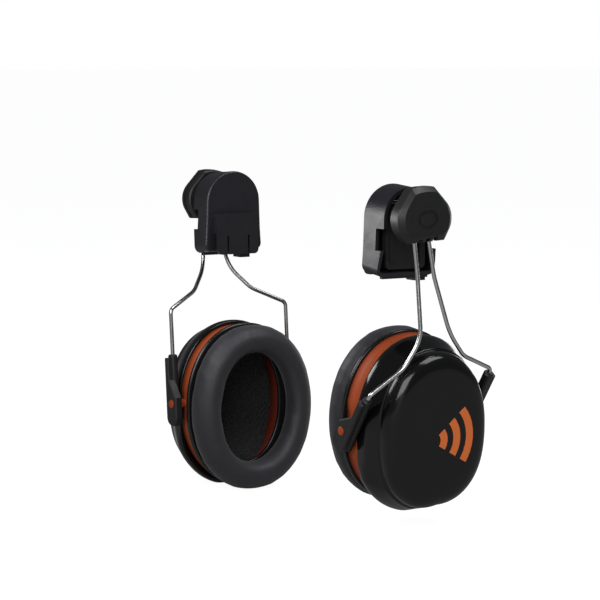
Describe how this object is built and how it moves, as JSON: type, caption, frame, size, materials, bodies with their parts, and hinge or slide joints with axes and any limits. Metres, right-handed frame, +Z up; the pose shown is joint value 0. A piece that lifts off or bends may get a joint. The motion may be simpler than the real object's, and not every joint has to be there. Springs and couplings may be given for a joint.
{
  "type": "helmet-mounted ear muffs",
  "caption": "Pair of hearing-protector cups on sprung wire arms, with slot adapters that clip to the sides of a safety helmet.",
  "frame": {"origin": "midway between the helmet's two side slots, on the helmet's centre plane", "axes": "+X towards the wearer's left, -Y towards the front, +Z up"},
  "size_m": [0.256, 0.1109, 0.2],
  "materials": {
    "adapter_black": "satin, fine moulded grain",
    "head_black": "matt moulded",
    "rocker_black": "matt moulded",
    "slider_black": "matt moulded",
    "shell_black": "high gloss",
    "orange": "satin orange",
    "cushion_black": "soft matt skin over foam",
    "foam_black": "open-cell foam",
    "wire_steel": "drawn and polished spring steel",
    "pin_steel": "turned steel",
    "spring_steel": "blued spring steel",
    "washer": "natural nylon"
  },
  "bodies": {
    "adapters": {"adapter_hood_left": "adapter_black", "adapter_tongue_left": "adapter_black", "rocker_pin_left": "pin_steel", "return_spring_left": "spring_steel", "adapter_hood_right": "adapter_black", "adapter_tongue_right": "adapter_black", "rocker_pin_right": "pin_steel", "return_spring_right": "spring_steel"},
    "rocker_left": {"rocker_left": "rocker_black", "pivot_post_left": "pin_steel", "friction_washer_left": "washer"},
    "arm_left": {"head_base_left": "head_black", "head_cap_left": "head_black", "wire_yoke_left": "wire_steel"},
    "slider_left": {"slider_front_left": "slider_black", "slider_rear_left": "slider_black", "pivot_pin_front_left": "orange", "pivot_pin_rear_left": "orange"},
    "cup_left": {"spacer_ring_left": "orange", "cup_shell_left": "shell_black", "badge_left": "orange", "back_plate_left": "rocker_black", "cushion_left": "cushion_black", "foam_liner_left": "foam_black"},
    "rocker_right": {"rocker_right": "rocker_black", "pivot_post_right": "pin_steel", "friction_washer_right": "washer"},
    "arm_right": {"head_base_right": "head_black", "head_cap_right": "head_black", "wire_yoke_right": "wire_steel"},
    "slider_right": {"slider_front_right": "slider_black", "slider_rear_right": "slider_black", "pivot_pin_front_right": "orange", "pivot_pin_rear_right": "orange"},
    "cup_right": {"spacer_ring_right": "orange", "cup_shell_right": "shell_black", "badge_right": "orange", "back_plate_right": "rocker_black", "cushion_right": "cushion_black", "foam_liner_right": "foam_black"}
  },
  "joints": [
    {"name": "standby_tilt_left", "type": "hinge", "parent": "adapters", "child": "rocker_left", "pos_m": [0.1074, 0, 0.026], "axis": [0, -1, 0], "range_deg": [0, 35], "stiffness_Nm_per_rad": 0.45, "springref_deg": -20.05},
    {"name": "arm_swivel_left", "type": "hinge", "parent": "rocker_left", "child": "arm_left", "pos_m": [0.1215, 0, 0.017], "axis": [1, 0, 0], "range_deg": [-25, 100]},
    {"name": "height_slide_left", "type": "slide", "parent": "arm_left", "child": "slider_left", "axis": [-0.6561, 0.092, -0.7491], "range_m": [0, 0.025]},
    {"name": "cup_tilt_left", "type": "hinge", "parent": "slider_left", "child": "cup_left", "pos_m": [0.0885, 0.01445, -0.10072], "axis": [0, 0.9925, 0.1219], "range_deg": [-10, 14]},
    {"name": "standby_tilt_right", "type": "hinge", "parent": "adapters", "child": "rocker_right", "pos_m": [-0.1074, 0, 0.026], "axis": [0, 1, 0], "range_deg": [0, 35], "stiffness_Nm_per_rad": 0.45, "springref_deg": -20.05},
    {"name": "arm_swivel_right", "type": "hinge", "parent": "rocker_right", "child": "arm_right", "pos_m": [-0.1215, 0, 0.017], "axis": [1, 0, 0], "range_deg": [-19.5, 105.5]},
    {"name": "height_slide_right", "type": "slide", "parent": "arm_right", "child": "slider_right", "axis": [0.0698, 0.0052, -0.9976], "range_m": [-0.025, 0]},
    {"name": "cup_tilt_right", "type": "hinge", "parent": "slider_right", "child": "cup_right", "pos_m": [-0.0885, 0.00067, -0.1102], "axis": [0, 1, 0.0052], "range_deg": [-14, 14]}
  ]
}
